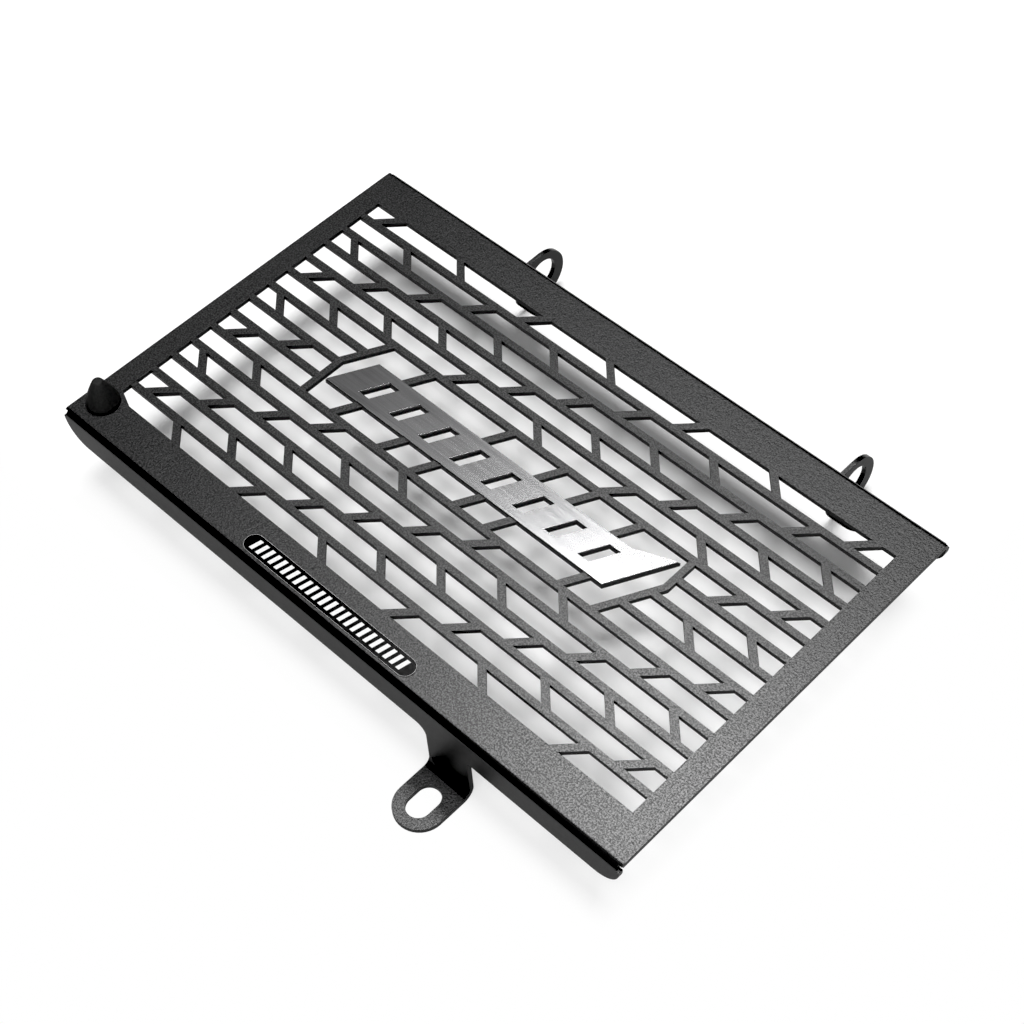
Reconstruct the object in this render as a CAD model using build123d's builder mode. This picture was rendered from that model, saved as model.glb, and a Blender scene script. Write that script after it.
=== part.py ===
"""Radiator guard of a motorcycle.

One slotted sheet is folded down along both long sides. The near flange carries a slotted lug and the
far flange carries two ears. A badge plate, a label strip and a rubber buffer are fitted to the sheet.

Millimetres. X runs along the long side, Y from the lug to the ears, and Z is up. The guard lies on the
lug and the ears, where Z is zero. X and Y are zero at the middle of the whole part.
"""

import os
from math import cos, radians, sin, tan

from build123d import *

os.makedirs("parts", exist_ok=True)

# Folded sheet
sheet = 1.8
panel_length = 254.3
panel_width = 155.4
stand_height = 33.6
flange_depth = 12.8
flange_bend = 0.7
flange_corner = 10.0
relief_width = 1.2
relief_start = 32.0

# Rows of slots, counted from the far side
rows = 14
row_pitch = 9.0
row_shift = 0.35
slot_height = 6.4
slot_margin_left = 8.5
slot_margin_right = 9.4
web_pitch = 36.0
web_width = 4.0
web_angle = 45.0
first_web = 10.0

# Window for the badge, over the middle rows
window_rows = 4
window_left = -72.0
window_right = 70.9
window_left_cut = 8.7
window_right_cut = 11.5
window_frame = 2.6
slant_angle = 28.4

# Badge backing, its bridges to the window, and the plate on it
badge_height = 17.0
badge_shift = -0.4
badge_end_gap = 1.4
badge_tip_rise = 6.2
badge_tip_length = 15.0
badge_slots = 8
badge_slot_pitch = 14.4
badge_slot_width = 4.4
badge_rail = 3.9
badge_margin = 0.25
badge_thickness = 0.7
bridge_width = 3.1
upper_bridges = (-44.7, -6.8, 16.7, 31.1, 50.4)
lower_bridges = (-58.2, -35.6, -20.4, 0.1, 14.0, 46.6)

# Label strip on the near margin
label_length = 76.7
label_height = 7.2
label_thickness = 0.3
label_x = -1.6
label_gap = 0.5

# Rubber buffer in the near left corner
buffer_inset_x = 7.7
buffer_inset_y = 11.7
buffer_radius = 6.0
buffer_skirt = 1.2
buffer_height = 11.0
buffer_bulge = 0.7
buffer_tip_radius = 1.7
buffer_neck_radius = 3.5
buffer_fit = 0.15
buffer_foot_radius = 6.0
buffer_foot_height = 5.0
buffer_land = 1.4
buffer_land_angle = -22.7

# Lug on the near flange
lug_x = 56.0
lug_width = 17.9
lug_reach = 21.9
lug_bend = 3.0
lug_fillet = 4.0
lug_slot_width = 8.5
lug_slot_length = 12.7
lug_slot_edge = 4.0

# Ears on the far flange
ear_faces = (-63.6, 80.8)
ear_reach = 23.9
ear_radius = 11.0
ear_hole_radius = 6.6
ear_hole_rise = 1.2
ear_bend = 1.5
ear_root_top = 11.8
ear_root_height = 13.2
tongue_width = 14.0
tongue_corner = 8.0
notch_gap = 1.0

# Levels and faces that follow from the sizes above
top = stand_height
underside = top - sheet
flange_edge = top - flange_depth
bend_outer = flange_bend + sheet
relief_reach = 2 * bend_outer
near_face = (lug_reach - panel_width - ear_reach) / 2
far_face = near_face + panel_width
panel_mid = (near_face + far_face) / 2
lug_tip = near_face - lug_reach
slant = tan(radians(slant_angle))

# Slot rows
row_mid = panel_mid + row_shift
rib = row_pitch - slot_height
field_left = -panel_length / 2 + slot_margin_left
field_right = panel_length / 2 - slot_margin_right
field_length = field_right - field_left
field_mid = (field_left + field_right) / 2
window_top = row_mid + (window_rows * row_pitch - rib) / 2
window_bottom = window_top - window_rows * row_pitch + rib
window_first_row = (rows - window_rows) // 2


def row_y(row):
    return row_mid + ((rows - 1) / 2 - row) * row_pitch


def web_places():
    """Centres of the slanted webs: those that lean to +X at the far end, and those that lean to -X."""
    rising = []
    falling = []
    for row in range(rows):
        first = field_left + first_web + (row % 2) * web_pitch / 2
        in_window = window_first_row <= row < window_first_row + window_rows
        for web in range(int((field_right - first) // web_pitch) + 1):
            x = first + web * web_pitch
            if in_window and window_left - web_pitch / 4 < x < window_right + web_pitch / 4:
                continue
            leaning = rising if (web + (row + 1) // 2) % 2 == 0 else falling
            leaning.append((x, row_y(row)))
    return rising, falling


def leaning_bar(width, bottom, top_edge, lean):
    """Corners of a bar of the given width along X that leans by lean for each unit of height."""
    return [
        (-width / 2 + bottom * lean, bottom),
        (width / 2 + bottom * lean, bottom),
        (width / 2 + top_edge * lean, top_edge),
        (-width / 2 + top_edge * lean, top_edge),
    ]


def window_outline(side, rise):
    """Corners of the window with its ends moved out by side and its long edges by rise."""
    left = window_left - side
    right = window_right + side
    upper = window_top + rise
    lower = window_bottom - rise
    slant_shift = side / cos(radians(slant_angle))
    left_slant = window_left + window_left_cut - slant_shift - window_top * slant
    right_slant = window_right - window_right_cut + slant_shift - window_bottom * slant
    return [
        (left_slant + upper * slant, upper),
        (left, (left - left_slant) / slant),
        (left, lower),
        (right_slant + lower * slant, lower),
        (right, (right - right_slant) / slant),
        (right, upper),
    ]


# Badge outline: a leaning band with a point at its upper right end
badge_mid = row_mid + badge_shift
badge_top = badge_mid + badge_height / 2
badge_bottom = badge_mid - badge_height / 2
badge_left = window_left + badge_end_gap
badge_tip = window_right - badge_end_gap
badge_tip_y = badge_top + badge_tip_rise
badge_outline = [
    (badge_left, badge_bottom),
    (badge_tip - (badge_tip_y - badge_bottom) * slant, badge_bottom),
    (badge_tip, badge_tip_y),
    (badge_tip - badge_tip_length, badge_top),
    (badge_left + badge_height * slant, badge_top),
]
badge_slot_half = badge_height / 2 - badge_rail
badge_slot_mid = (badge_left + badge_tip - badge_tip_rise * slant) / 2
badge_slot_places = [
    (badge_slot_mid + (slot - (badge_slots - 1) / 2) * badge_slot_pitch, badge_mid)
    for slot in range(badge_slots)
]
badge_slot = leaning_bar(badge_slot_width, -badge_slot_half, badge_slot_half, slant)

# Webs run a little past the slots, and bridges run from the window's edge to the middle of the badge
rising_webs, falling_webs = web_places()
web_half = slot_height / 2 + rib / 4
web_lean = tan(radians(web_angle))
upper_bridge = leaning_bar(bridge_width, badge_mid - window_top, rib / 2, slant)
lower_bridge = leaning_bar(bridge_width, -rib / 2, badge_mid - window_bottom, slant)

buffer_x = -panel_length / 2 + buffer_inset_x
buffer_y = near_face + buffer_inset_y
buffer_keep = 2 * (buffer_radius + buffer_land)

ear_head_y = far_face + ear_reach - ear_radius
ear_root_z = top - ear_root_top
ear_root_low = ear_root_z - ear_root_height


with BuildPart() as guard_panel:
    # Channel: the top sheet with a flange down each long side
    with BuildSketch(Plane.YZ.offset(-panel_length / 2)) as channel:
        with Locations((panel_mid, top)):
            Rectangle(panel_width, flange_depth, align=(Align.CENTER, Align.MAX))
        with Locations((panel_mid, underside)):
            Rectangle(
                panel_width - 2 * sheet,
                flange_depth,
                align=(Align.CENTER, Align.MAX),
                mode=Mode.SUBTRACT,
            )
        fillet(channel.vertices().group_by(Axis.Y)[-2], flange_bend)
        fillet(channel.vertices().group_by(Axis.Y)[-1], bend_outer)
    extrude(amount=panel_length)

    # Rounded lower corners of the flanges, and a nick through the steep part of each bend at its ends
    fillet(guard_panel.edges().filter_by(Axis.Y).group_by(Axis.Z)[0], flange_corner)
    left_end = Plane.YZ.offset(-panel_length / 2)
    right_end = Plane.YZ.offset(panel_length / 2 - relief_width)
    with BuildSketch(left_end, right_end) as reliefs:
        for face, outward in ((near_face, -1), (far_face, 1)):
            bend_y = face - outward * bend_outer
            bend_z = top - bend_outer
            Polygon(
                (bend_y, bend_z),
                (bend_y + outward * relief_reach, bend_z),
                (
                    bend_y + outward * relief_reach * sin(radians(relief_start)),
                    bend_z + relief_reach * cos(radians(relief_start)),
                ),
                align=None,
            )
    extrude(amount=relief_width, mode=Mode.SUBTRACT)

    # Lug: a neck below the near flange, bent out into a round-ended tab with a slot
    with BuildSketch(Plane.YZ.offset(lug_x - lug_width / 2)) as neck:
        Polygon(
            (near_face, flange_edge),
            (near_face + sheet, flange_edge),
            (near_face + sheet, 0),
            (lug_tip + lug_width / 2, 0),
            (lug_tip + lug_width / 2, sheet),
            (near_face, sheet),
            align=None,
        )
        fillet(neck.vertices().sort_by_distance((near_face + sheet, 0))[0], lug_bend + sheet)
        fillet(neck.vertices().sort_by_distance((near_face, sheet))[0], lug_bend)
    extrude(amount=lug_width)
    with BuildSketch() as tab:
        with Locations((lug_x, lug_tip + lug_width / 2)):
            Circle(lug_width / 2)
    extrude(amount=sheet)
    with BuildSketch() as lug_slot:
        with Locations((lug_x, lug_tip + lug_slot_edge + lug_slot_length / 2)):
            SlotOverall(lug_slot_length, lug_slot_width, rotation=90)
    extrude(amount=sheet, mode=Mode.SUBTRACT)
    lug_corner = (lug_x - lug_width / 2, near_face, flange_edge)
    fillet(guard_panel.edges().filter_by(Axis.Y).sort_by_distance(lug_corner)[0], lug_fillet)

    # Ears: a tongue below the far flange, with a holed ear folded out from its side
    for ear_x in ear_faces:
        fold_x = ear_x + ear_bend
        fold_y = far_face + ear_bend
        fold_radius = ear_bend + sheet
        with BuildSketch(Plane.XZ.offset(-far_face)) as notch:
            with Locations((fold_x, flange_edge)):
                Rectangle(
                    fold_radius + notch_gap,
                    ear_root_z + notch_gap - flange_edge,
                    align=(Align.MAX, Align.MIN),
                )
        extrude(amount=sheet, mode=Mode.SUBTRACT)
        with BuildSketch(Plane.XZ.offset(-far_face)) as tongue:
            with Locations((fold_x, ear_root_low)):
                Rectangle(tongue_width, flange_edge - ear_root_low, align=(Align.MIN, Align.MIN))
            fillet(tongue.vertices().group_by(Axis.Y)[0].sort_by(Axis.X)[-1], tongue_corner)
        extrude(amount=sheet)
        with BuildSketch(Plane.XY.offset(ear_root_low)) as fold:
            with Locations((fold_x, fold_y)):
                Circle(fold_radius)
                Circle(ear_bend, mode=Mode.SUBTRACT)
                Rectangle(fold_radius, fold_radius, align=(Align.MAX, Align.MAX), mode=Mode.INTERSECT)
        extrude(amount=ear_root_height)
        with BuildSketch(Plane.YZ.offset(ear_x - sheet)) as ear:
            with BuildLine() as ear_edges:
                Line((fold_y, ear_root_low), (fold_y, ear_root_z))
                CenterArc((ear_head_y, ear_radius), ear_radius, 0, 360)
            make_hull()
            with Locations((ear_head_y, ear_radius + ear_hole_rise)):
                Circle(ear_hole_radius, mode=Mode.SUBTRACT)
        extrude(amount=sheet)

    # Slot rows with leaning webs, the window round the bridged badge backing, and the buffer's hole
    with BuildSketch(Plane.XY.offset(top)) as openings:
        with Locations((field_mid, row_mid)):
            with GridLocations(field_length, row_pitch, 1, rows):
                Rectangle(field_length, slot_height)
        with Locations(*rising_webs):
            Polygon(*leaning_bar(web_width, -web_half, web_half, web_lean), align=None, mode=Mode.SUBTRACT)
        with Locations(*falling_webs):
            Polygon(*leaning_bar(web_width, -web_half, web_half, -web_lean), align=None, mode=Mode.SUBTRACT)
        with Locations((buffer_x, buffer_y)):
            Rectangle(buffer_keep, buffer_keep, rotation=buffer_land_angle, mode=Mode.SUBTRACT)
            Circle(buffer_neck_radius + buffer_fit)
        Polygon(*window_outline(window_frame, rib / 2), align=None, mode=Mode.SUBTRACT)
        Polygon(*window_outline(0, 0), align=None)
        Polygon(*badge_outline, align=None, mode=Mode.SUBTRACT)
        with Locations(*[(x, window_top) for x in upper_bridges]):
            Polygon(*upper_bridge, align=None, mode=Mode.SUBTRACT)
        with Locations(*[(x, window_bottom) for x in lower_bridges]):
            Polygon(*lower_bridge, align=None, mode=Mode.SUBTRACT)
        with Locations(*badge_slot_places):
            Polygon(*badge_slot, align=None)
    extrude(amount=-sheet, mode=Mode.SUBTRACT)

with BuildPart() as badge_plate:
    with BuildSketch(Plane.XY.offset(top)) as badge_face:
        Polygon(*badge_outline, align=None)
        with Locations(*badge_slot_places):
            Polygon(*badge_slot, align=None, mode=Mode.SUBTRACT)
        offset(amount=-badge_margin, kind=Kind.INTERSECTION, mode=Mode.REPLACE)
    extrude(amount=badge_thickness)

with BuildPart() as label_strip:
    with BuildSketch(Plane.XY.offset(top)) as label_face:
        with Locations((label_x, near_face + bend_outer + label_gap + label_height / 2)):
            SlotOverall(label_length, label_height)
    extrude(amount=label_thickness)

with BuildPart() as rubber_buffer:
    # Half section: foot below the sheet, neck in its hole, and a pointed head above it
    with BuildSketch(Plane.XZ.offset(-buffer_y)) as half_section:
        with BuildLine() as buffer_edge:
            shoulder = (buffer_x + buffer_radius, top + buffer_skirt)
            tip = (buffer_x + buffer_tip_radius, top + buffer_height)
            SagittaArc(shoulder, tip, -buffer_bulge)
            Polyline(
                tip,
                (buffer_x, top + buffer_height),
                (buffer_x, underside - buffer_foot_height),
                (buffer_x + buffer_foot_radius, underside - buffer_foot_height),
                (buffer_x + buffer_foot_radius, underside),
                (buffer_x + buffer_neck_radius, underside),
                (buffer_x + buffer_neck_radius, top),
                (buffer_x + buffer_radius, top),
                shoulder,
            )
        make_face()
    revolve(axis=Axis((buffer_x, buffer_y, 0), (0, 0, 1)))

guard_panel.part.label = "guard_panel"
badge_plate.part.label = "badge_plate"
label_strip.part.label = "label_strip"
rubber_buffer.part.label = "rubber_buffer"
export_step(guard_panel.part, "parts/guard_panel.step")
export_step(badge_plate.part, "parts/badge_plate.step")
export_step(label_strip.part, "parts/label_strip.step")
export_step(rubber_buffer.part, "parts/rubber_buffer.step")
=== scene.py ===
"""Motorcycle radiator guard: a slotted, folded sheet with a brushed badge, a label and a rubber buffer.

Metres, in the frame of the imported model. X runs along the flanges, Y from the lug to the ears, Z is up.
"""

from math import pi, radians

import bmesh
import bpy
from mathutils import Matrix, Vector


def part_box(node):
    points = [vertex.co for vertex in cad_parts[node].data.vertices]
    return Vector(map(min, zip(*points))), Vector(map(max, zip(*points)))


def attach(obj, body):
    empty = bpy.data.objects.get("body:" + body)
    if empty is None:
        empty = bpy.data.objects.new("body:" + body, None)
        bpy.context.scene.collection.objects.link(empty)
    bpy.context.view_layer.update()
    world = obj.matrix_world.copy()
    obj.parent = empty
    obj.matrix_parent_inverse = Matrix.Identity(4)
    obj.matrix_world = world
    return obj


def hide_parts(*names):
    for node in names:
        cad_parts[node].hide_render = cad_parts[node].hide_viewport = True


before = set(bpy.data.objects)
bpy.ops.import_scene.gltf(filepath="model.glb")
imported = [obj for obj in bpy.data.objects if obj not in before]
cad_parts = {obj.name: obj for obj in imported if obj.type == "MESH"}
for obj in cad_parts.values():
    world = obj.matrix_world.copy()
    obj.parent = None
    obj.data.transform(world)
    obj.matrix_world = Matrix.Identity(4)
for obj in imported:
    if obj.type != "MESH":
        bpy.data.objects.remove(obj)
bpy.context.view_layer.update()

scene = bpy.context.scene

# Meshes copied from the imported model, and the rounds on their edges
weld_distance = 2e-6
flat_within = radians(0.6)
round_over = radians(35)
shade_sharp_over = radians(40)
edge_segments = 2
panel_edge = 0.00018
badge_edge = 0.00002
label_edge = 0.00006

# Print on the label, and the pale rim line, a painted highlight along the sticker's edge
facing_up = 0.9
rim_line = 0.00007
bar_count = 24
bar_pitch = 0.00294
bar_width = 0.0015
bar_height = 0.0044
bar_thickness = 0.00006
bar_lean = 0.22

# Half section of the rubber buffer
sheet = 0.0018
neck_radius = 0.0035
skirt_height = 0.0012
shoulder_height = 0.0064
shoulder_inset = 0.00185
tip_radius = 0.0017
corner_round = 0.0004
corner_segments = 3
shoulder_round = 0.003
shoulder_segments = 6
turning_steps = 72
same_point = 1e-6

# Grain: a wider swell under the beads, and the beads that count as specks
swell_scale = 0.37
swell_share = 0.7
speck_span = (0.42, 0.63)

# Coat: the spans are of the upward part of the surface's normal
flat_span = (0.97, 0.999)
upright_span = (0.02, 0.25)
upright_roughness = (0.45, 0.25)
grain_off_flat = 0.2

# Strokes on the badge, long along X and fine across it. The turn only picks another part of the noise
stroke_scale = (36, 1500, 36)
stroke_turn = radians(-28)

# Floor: where the painted shade in its reflections darkens, and where painted white light hides its
# shadow from the camera
floor_reach = 3.0
dark_front = (-0.09, -0.16)
white_near = (-0.045, -0.098)
white_right = (0.096, 0.128)

# Room light grows from the far left corner to the near right one
room_direction = (0.707, -0.707, 0)
room_span = (-0.40, 0.10)
room_light = (0.08, 0.35)
black_level = 0.018


# Pieces

def sheet_copy(node):
    """The node's skin with its triangles joined into flat faces."""
    bm = bmesh.new()
    bm.from_mesh(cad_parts[node].data)
    bmesh.ops.remove_doubles(bm, verts=bm.verts, dist=weld_distance)
    bmesh.ops.dissolve_limit(
        bm, angle_limit=flat_within, use_dissolve_boundaries=False, verts=bm.verts, edges=bm.edges
    )
    return bm


def soften_edges(bm, width):
    """Rounds every edge that turns sharply."""
    sharp = [e for e in bm.edges if len(e.link_faces) == 2 and e.calc_face_angle() > round_over]
    bmesh.ops.bevel(
        bm, geom=sharp, offset=width, offset_type="OFFSET", segments=edge_segments, profile=0.5,
        affect="EDGES", clamp_overlap=True, material=-1,
    )


def finished(name, bm, materials, replaced=None):
    """Makes a piece of the mesh, on the only body, with smooth shading across its soft edges."""
    mesh = bpy.data.meshes.new(name)
    bm.to_mesh(mesh)
    bm.free()
    for material in materials:
        mesh.materials.append(material)
    mesh.shade_smooth()
    mesh.set_sharp_from_angle(angle=shade_sharp_over)
    piece = bpy.data.objects.new(name, mesh)
    scene.collection.objects.link(piece)
    weights = piece.modifiers.new("even_shading", "WEIGHTED_NORMAL")
    weights.keep_sharp = True
    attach(piece, "root")
    if replaced:
        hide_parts(replaced)


def folded_panel(coat):
    """The folded sheet with its slots, flanges, lug and ears."""
    bm = sheet_copy("guard_panel")
    soften_edges(bm, panel_edge)
    finished("folded_panel", bm, [coat], "guard_panel")


def badge(steel):
    """The plate with leaning slots in the middle of the window."""
    bm = sheet_copy("badge_plate")
    soften_edges(bm, badge_edge)
    finished("badge", bm, [steel], "badge_plate")


def label(film, ink_and_rim_highlight):
    """The sticker, with a pale line in the ink round its rim: a painted highlight along its edge."""
    bm = sheet_copy("label_strip")
    soften_edges(bm, label_edge)
    upper_faces = [f for f in bm.faces if f.normal.z > facing_up]
    face = max(upper_faces, key=lambda f: f.calc_area())
    ring = bmesh.ops.inset_region(bm, faces=[face], thickness=rim_line, use_even_offset=True)
    # The ring is a painted highlight in the pale ink
    for f in ring["faces"]:
        f.material_index = 1
    finished("label", bm, [film, ink_and_rim_highlight], "label_strip")


def label_bars(ink_and_rim_highlight):
    """A row of plain leaning bars printed on the sticker."""
    low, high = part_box("label_strip")
    middle = (low + high) / 2
    slope = Matrix.Identity(3)
    slope[0][1] = bar_lean
    bm = bmesh.new()
    for place in range(bar_count):
        bar = bmesh.ops.create_cube(bm, size=1)["verts"]
        bmesh.ops.scale(bm, vec=(bar_width, bar_height, bar_thickness), verts=bar)
        bmesh.ops.transform(bm, matrix=slope.to_4x4(), verts=bar)
        x = middle.x + (place - (bar_count - 1) / 2) * bar_pitch
        bmesh.ops.translate(bm, vec=(x, middle.y, high.z), verts=bar)
    finished("label_bars", bm, [ink_and_rim_highlight])


def buffer(rubber):
    """The pointed buffer turned from its half section: a foot, a neck in the sheet and a blunt cone."""
    low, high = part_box("rubber_buffer")
    axis = Vector(((low.x + high.x) / 2, (low.y + high.y) / 2, 0))
    panel_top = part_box("badge_plate")[0].z
    under = panel_top - sheet
    wide = (high.x - low.x) / 2
    section = [
        (0, low.z),
        (wide, low.z),
        (wide, under),
        (neck_radius, under),
        (neck_radius, panel_top),
        (wide, panel_top),
        (wide, panel_top + skirt_height),
        (wide - shoulder_inset, panel_top + shoulder_height),
        (tip_radius, high.z),
        (0, high.z),
    ]
    bm = bmesh.new()
    points = [bm.verts.new((axis.x + r, axis.y, z)) for r, z in section]
    for a, b in zip(points, points[1:]):
        bm.edges.new((a, b))
    bmesh.ops.bevel(
        bm, geom=[points[1], points[2], points[5], points[6], points[8]], offset=corner_round,
        offset_type="OFFSET", segments=corner_segments, profile=0.5, affect="VERTICES", material=-1,
    )
    shoulder = [v for v in bm.verts if abs(v.co.z - panel_top - shoulder_height) < same_point]
    bmesh.ops.bevel(
        bm, geom=shoulder, offset=shoulder_round,
        offset_type="OFFSET", segments=shoulder_segments, profile=0.5, affect="VERTICES", material=-1,
    )
    bmesh.ops.spin(
        bm, geom=bm.verts[:] + bm.edges[:], cent=axis, axis=(0, 0, 1), dvec=(0, 0, 0),
        angle=2 * pi, steps=turning_steps, use_merge=True, use_duplicate=False,
    )
    bmesh.ops.remove_doubles(bm, verts=bm.verts, dist=same_point)
    bmesh.ops.recalc_face_normals(bm, faces=bm.faces)
    finished("buffer", bm, [rubber], "rubber_buffer")


# Nodes that the finishes and the studio share

def grey(value):
    return (value, value, value, 1)


def remap(nodes, taken, given=(0, 1), smooth=False):
    """Maps one range of values onto another and holds it at both ends."""
    node = nodes.new("ShaderNodeMapRange")
    if smooth:
        node.interpolation_type = "SMOOTHSTEP"
    node.inputs["From Min"].default_value, node.inputs["From Max"].default_value = taken
    node.inputs["To Min"].default_value, node.inputs["To Max"].default_value = given
    return node


def calculation(nodes, operation):
    node = nodes.new("ShaderNodeMath")
    node.operation = operation
    return node


def colour_mix(nodes, first, second):
    node = nodes.new("ShaderNodeMix")
    node.data_type = "RGBA"
    node.inputs["A"].default_value = first
    node.inputs["B"].default_value = second
    return node


# Finishes

def grain_group():
    """Fine even grain: a height for bumps and a speck mask for gloss and colour."""
    group = bpy.data.node_groups.new("fine_grain", "ShaderNodeTree")
    group.interface.new_socket("Vector", in_out="INPUT", socket_type="NodeSocketVector")
    group.interface.new_socket("Fineness", in_out="INPUT", socket_type="NodeSocketFloat")
    group.interface.new_socket("Height", in_out="OUTPUT", socket_type="NodeSocketFloat")
    group.interface.new_socket("Specks", in_out="OUTPUT", socket_type="NodeSocketFloat")
    nodes, links = group.nodes, group.links
    given = nodes.new("NodeGroupInput")
    out = nodes.new("NodeGroupOutput")
    beads = nodes.new("ShaderNodeTexNoise")
    beads.inputs["Detail"].default_value = 3.0
    beads.inputs["Roughness"].default_value = 0.65
    coarser = calculation(nodes, "MULTIPLY")
    coarser.inputs[1].default_value = swell_scale
    swell = nodes.new("ShaderNodeTexNoise")
    swell.inputs["Detail"].default_value = 1.0
    both = calculation(nodes, "MULTIPLY_ADD")
    both.inputs[1].default_value = swell_share
    specks = remap(nodes, speck_span)
    links.new(given.outputs["Vector"], beads.inputs["Vector"])
    links.new(given.outputs["Vector"], swell.inputs["Vector"])
    links.new(given.outputs["Fineness"], beads.inputs["Scale"])
    links.new(given.outputs["Fineness"], coarser.inputs[0])
    links.new(coarser.outputs[0], swell.inputs["Scale"])
    links.new(swell.outputs[0], both.inputs[0])
    links.new(beads.outputs[0], both.inputs[2])
    links.new(both.outputs[0], out.inputs["Height"])
    links.new(beads.outputs[0], specks.inputs["Value"])
    links.new(specks.outputs["Result"], out.inputs["Specks"])
    return group


def new_finish(name):
    """A new material, with its nodes, its links and its shader."""
    material = bpy.data.materials.new(name)
    material.use_nodes = True
    nodes = material.node_tree.nodes
    return material, nodes, material.node_tree.links, nodes["Principled BSDF"]


def grained(nodes, links, shader, grain, fineness, rough, dark, light, bump):
    """Grain on a shader: gloss and colour vary with the specks, and the height bumps the surface."""
    where = nodes.new("ShaderNodeTexCoord")
    texture = nodes.new("ShaderNodeGroup")
    texture.node_tree = grain
    texture.inputs["Fineness"].default_value = fineness
    gloss = remap(nodes, (0, 1), rough)
    tint = colour_mix(nodes, dark, light)
    relief = nodes.new("ShaderNodeBump")
    relief.inputs["Strength"].default_value = 1.0
    relief.inputs["Distance"].default_value = bump
    links.new(where.outputs["Object"], texture.inputs["Vector"])
    links.new(texture.outputs["Specks"], gloss.inputs["Value"])
    links.new(texture.outputs["Specks"], tint.inputs["Factor"])
    links.new(texture.outputs["Height"], relief.inputs["Height"])
    links.new(gloss.outputs["Result"], shader.inputs["Roughness"])
    links.new(tint.outputs["Result"], shader.inputs["Base Color"])
    links.new(relief.outputs["Normal"], shader.inputs["Normal"])
    return where, texture, gloss, tint, relief


def powder_coat(grain):
    """Textured coat: full grain on the flat of the sheet, smooth over a fold, duller on the flanges. The
    pale colour specks are on the flat only, which is painted shade that keeps the folds and flanges
    darker.
    """
    material, nodes, links, shader = new_finish("black_powder_coat")
    where, texture, gloss, tint, relief = grained(
        nodes, links, shader, grain, fineness=1700.0, rough=(0.34, 0.48),
        dark=grey(0.001), light=(0.009, 0.009, 0.0095, 1), bump=0.00012,
    )
    shader.inputs["Specular IOR Level"].default_value = 0.5
    shader.inputs["Coat Roughness"].default_value = 0.30
    shader.inputs["Coat IOR"].default_value = 1.58
    facing = nodes.new("ShaderNodeSeparateXYZ")
    level = calculation(nodes, "ABSOLUTE")
    flat = remap(nodes, flat_span, smooth=True)
    upright = remap(nodes, upright_span, upright_roughness, smooth=True)
    depth = remap(nodes, (0, 1), (grain_off_flat, 1))
    rise = calculation(nodes, "MULTIPLY")
    glints = calculation(nodes, "MULTIPLY")
    sheen = nodes.new("ShaderNodeMix")
    links.new(where.outputs["Normal"], facing.inputs["Vector"])
    links.new(facing.outputs["Z"], level.inputs[0])
    links.new(level.outputs[0], flat.inputs["Value"])
    links.new(level.outputs[0], upright.inputs["Value"])
    # Bumps are shallow off the flat, and the pale specks are on the flat only. Off the flat the coat gets
    # no pale speck colour, which is painted shade on the folds and flanges.
    links.new(flat.outputs["Result"], depth.inputs["Value"])
    links.new(texture.outputs["Height"], rise.inputs[0])
    links.new(depth.outputs["Result"], rise.inputs[1])
    links.new(rise.outputs[0], relief.inputs["Height"])
    links.new(texture.outputs["Specks"], glints.inputs[0])
    links.new(flat.outputs["Result"], glints.inputs[1])
    links.new(glints.outputs[0], tint.inputs["Factor"])
    links.new(glints.outputs[0], shader.inputs["Coat Weight"])
    # Gloss follows the grain on the flat, and the steepness elsewhere
    links.new(flat.outputs["Result"], sheen.inputs["Factor"])
    links.new(upright.outputs["Result"], sheen.inputs["A"])
    links.new(gloss.outputs["Result"], sheen.inputs["B"])
    links.new(sheen.outputs["Result"], shader.inputs["Roughness"])
    return material


def buffer_rubber(grain):
    """Matt moulded rubber."""
    material, nodes, links, shader = new_finish("black_rubber")
    grained(
        nodes, links, shader, grain, fineness=1300.0, rough=(0.62, 0.76),
        dark=grey(0.014), light=grey(0.022), bump=0.000010,
    )
    shader.inputs["Specular IOR Level"].default_value = 0.25
    return material


def label_film(grain):
    """Smooth black film."""
    material, nodes, links, shader = new_finish("label_film")
    grained(
        nodes, links, shader, grain, fineness=700.0, rough=(0.18, 0.24),
        dark=grey(0.002), light=grey(0.003), bump=0.000002,
    )
    shader.inputs["Specular IOR Level"].default_value = 0.25
    return material


def label_ink_and_rim_highlight(grain):
    """Pale printing ink, also used for the painted highlight round the label's rim."""
    material, nodes, links, shader = new_finish("label_ink_and_rim_highlight")
    grained(
        nodes, links, shader, grain, fineness=1500.0, rough=(0.40, 0.50),
        dark=grey(0.60), light=grey(0.72), bump=0.000003,
    )
    return material


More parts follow.
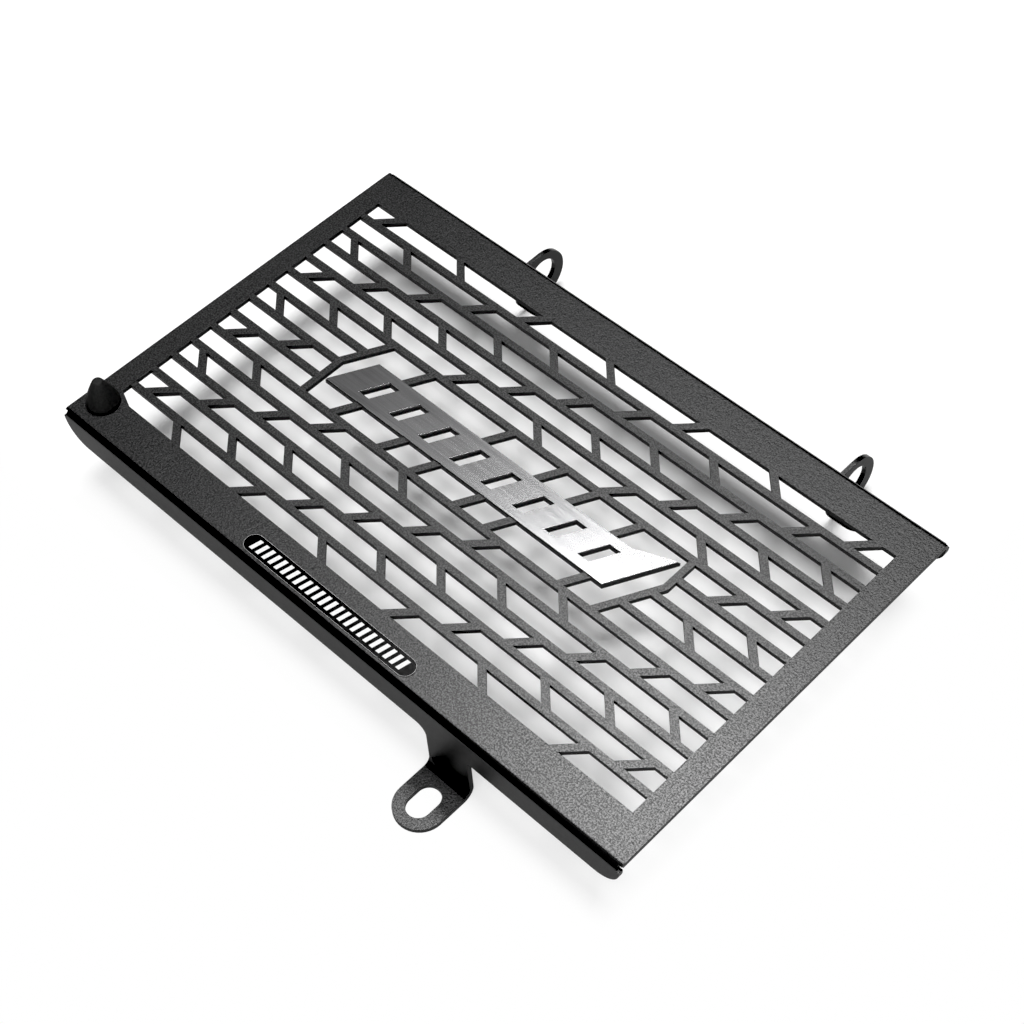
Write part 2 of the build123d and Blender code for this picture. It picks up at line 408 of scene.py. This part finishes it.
def brushed_steel():
    """Fine strokes along the plate, in the gloss, the colour and the bump."""
    material, nodes, links, shader = new_finish("brushed_badge")
    shader.inputs["Metallic"].default_value = 1.0
    where = nodes.new("ShaderNodeTexCoord")
    turn = nodes.new("ShaderNodeMapping")
    turn.inputs["Scale"].default_value = stroke_scale
    turn.inputs["Rotation"].default_value = (0, 0, stroke_turn)
    strokes = nodes.new("ShaderNodeTexNoise")
    strokes.inputs["Scale"].default_value = 1.0
    strokes.inputs["Detail"].default_value = 1.0
    gloss = remap(nodes, (0, 1), (0.18, 0.25))
    tint = colour_mix(nodes, (0.40, 0.40, 0.405, 1), (0.52, 0.52, 0.525, 1))
    relief = nodes.new("ShaderNodeBump")
    relief.inputs["Distance"].default_value = 0.0000006
    links.new(where.outputs["Object"], turn.inputs["Vector"])
    links.new(turn.outputs["Vector"], strokes.inputs["Vector"])
    links.new(strokes.outputs[0], gloss.inputs["Value"])
    links.new(strokes.outputs[0], tint.inputs["Factor"])
    links.new(strokes.outputs[0], relief.inputs["Height"])
    links.new(gloss.outputs["Result"], shader.inputs["Roughness"])
    links.new(tint.outputs["Result"], shader.inputs["Base Color"])
    links.new(relief.outputs["Normal"], shader.inputs["Normal"])
    return material


grain = grain_group()
coat = powder_coat(grain)
pale_ink_and_rim_highlight = label_ink_and_rim_highlight(grain)
folded_panel(coat)
badge(brushed_steel())
label(label_film(grain), pale_ink_and_rim_highlight)
label_bars(pale_ink_and_rim_highlight)
buffer(buffer_rubber(grain))


# Studio

def paper_with_painted_light():
    """White paper with painted light: reflections see it darker, with painted shade darkest in front, and
    the camera sees it glow white over the guard's shadow off the near and right edges.
    """
    material, nodes, links, shader = new_finish("paper_with_painted_light")
    shader.inputs["Base Color"].default_value = grey(0.93)
    shader.inputs["Roughness"].default_value = 0.9
    shader.inputs["Specular IOR Level"].default_value = 0.1
    where = nodes.new("ShaderNodeTexCoord")
    along = nodes.new("ShaderNodeSeparateXYZ")
    path = nodes.new("ShaderNodeLightPath")
    links.new(where.outputs["Object"], along.inputs["Vector"])

    # In reflections: painted shade, the floor seen darker, darkest in front of the guard
    fall = remap(nodes, dark_front, smooth=True)
    shade = colour_mix(nodes, grey(0.56), grey(0.05))
    dim = nodes.new("ShaderNodeBsdfDiffuse")
    seen = nodes.new("ShaderNodeMixShader")
    links.new(along.outputs["Y"], fall.inputs["Value"])
    links.new(fall.outputs["Result"], shade.inputs["Factor"])
    links.new(shade.outputs["Result"], dim.inputs["Color"])
    links.new(path.outputs["Is Glossy Ray"], seen.inputs[0])
    links.new(shader.outputs["BSDF"], seen.inputs[1])
    links.new(dim.outputs["BSDF"], seen.inputs[2])

    # To the camera: painted light, a white glow over the guard's shadow off the near and right edges
    near = remap(nodes, white_near, smooth=True)
    right = remap(nodes, white_right, smooth=True)
    outside = calculation(nodes, "MAXIMUM")
    lift = calculation(nodes, "MULTIPLY")
    white = nodes.new("ShaderNodeEmission")
    lifted = nodes.new("ShaderNodeMixShader")
    links.new(along.outputs["Y"], near.inputs["Value"])
    links.new(along.outputs["X"], right.inputs["Value"])
    links.new(near.outputs["Result"], outside.inputs[0])
    links.new(right.outputs["Result"], outside.inputs[1])
    links.new(outside.outputs[0], lift.inputs[0])
    links.new(path.outputs["Is Camera Ray"], lift.inputs[1])
    links.new(lift.outputs[0], lifted.inputs[0])
    links.new(seen.outputs["Shader"], lifted.inputs[1])
    links.new(white.outputs["Emission"], lifted.inputs[2])
    links.new(lifted.outputs["Shader"], nodes["Material Output"].inputs["Surface"])
    return material


def pale_floor():
    """A large sheet of paper under the guard."""
    bm = bmesh.new()
    bmesh.ops.create_grid(bm, x_segments=1, y_segments=1, size=floor_reach)
    mesh = bpy.data.meshes.new("floor")
    bm.to_mesh(mesh)
    bm.free()
    mesh.materials.append(paper_with_painted_light())
    floor = bpy.data.objects.new("floor", mesh)
    scene.collection.objects.link(floor)


def pale_room():
    """Soft light from most of the room, a dark far left corner, and pale walls behind the object."""
    world = bpy.data.worlds.new("studio")
    world.use_nodes = True
    nodes, links = world.node_tree.nodes, world.node_tree.links
    where = nodes.new("ShaderNodeTexCoord")
    side = nodes.new("ShaderNodeVectorMath")
    side.operation = "DOT_PRODUCT"
    side.inputs[1].default_value = room_direction
    fill = remap(nodes, room_span, room_light, smooth=True)
    room = nodes["Background"]
    room.inputs["Color"].default_value = grey(1)
    walls = nodes.new("ShaderNodeBackground")
    walls.inputs["Color"].default_value = grey(0.75)
    path = nodes.new("ShaderNodeLightPath")
    seen = nodes.new("ShaderNodeMixShader")
    links.new(where.outputs["Generated"], side.inputs[0])
    links.new(side.outputs["Value"], fill.inputs["Value"])
    links.new(fill.outputs["Result"], room.inputs["Strength"])
    links.new(path.outputs["Is Camera Ray"], seen.inputs[0])
    links.new(room.outputs["Background"], seen.inputs[1])
    links.new(walls.outputs["Background"], seen.inputs[2])
    links.new(seen.outputs["Shader"], nodes["World Output"].inputs["Surface"])
    scene.world = world


def aimed(direction):
    """The turn that points a lamp along the direction."""
    return direction.to_track_quat("-Z", "Y").to_euler()


def softbox(name, place, target, size, power):
    """A rectangular area light."""
    lamp = bpy.data.lights.new(name, "AREA")
    lamp.shape = "RECTANGLE"
    lamp.size, lamp.size_y = size
    lamp.energy = power
    stand = bpy.data.objects.new(name, lamp)
    stand.location = place
    stand.rotation_euler = aimed(Vector(target) - Vector(place))
    scene.collection.objects.link(stand)


def overhead_light():
    """A broad main light from almost straight above."""
    lamp = bpy.data.lights.new("overhead", "SUN")
    lamp.energy = 1.62
    lamp.angle = radians(17)
    stand = bpy.data.objects.new("overhead", lamp)
    stand.rotation_euler = aimed(Vector((0.05, -0.06, -1)))
    scene.collection.objects.link(stand)


def studio():
    """Floor, room and lights. The far side softbox makes the sheen on the top face and the badge."""
    pale_floor()
    pale_room()
    overhead_light()
    softbox(
        "far_side", place=(-0.195, 0.385, 1.1), target=(-0.195, 0.385, 0), size=(0.47, 0.26), power=6.9
    )
    softbox("near_right", place=(0.55, -0.8, 0.8), target=(0, 0, 0), size=(0.9, 0.5), power=7.5)
    view = scene.view_settings
    view.view_transform = "Standard"
    view.use_curve_mapping = True
    view.curve_mapping.black_level = (black_level, black_level, black_level)
    view.curve_mapping.update()


def camera():
    """The photo's view of the guard."""
    lens = bpy.data.cameras.new("camera")
    lens.lens = 71.68
    lens.sensor_width = 36.0
    lens.shift_x = -0.01406
    lens.clip_start = 0.01
    lens.clip_end = 20.0
    right = Vector((0.7209, 0.6919, -0.0392)).normalized()
    up = Vector((-0.5351, 0.5917, 0.6030)).normalized()
    place = Vector((0.3087, -0.2761, 0.5568))
    turn = Matrix((right, up, right.cross(up))).transposed()
    stand = bpy.data.objects.new("camera", lens)
    stand.matrix_world = Matrix.Translation(place) @ turn.to_4x4()
    scene.collection.objects.link(stand)
    scene.camera = stand


studio()
camera()
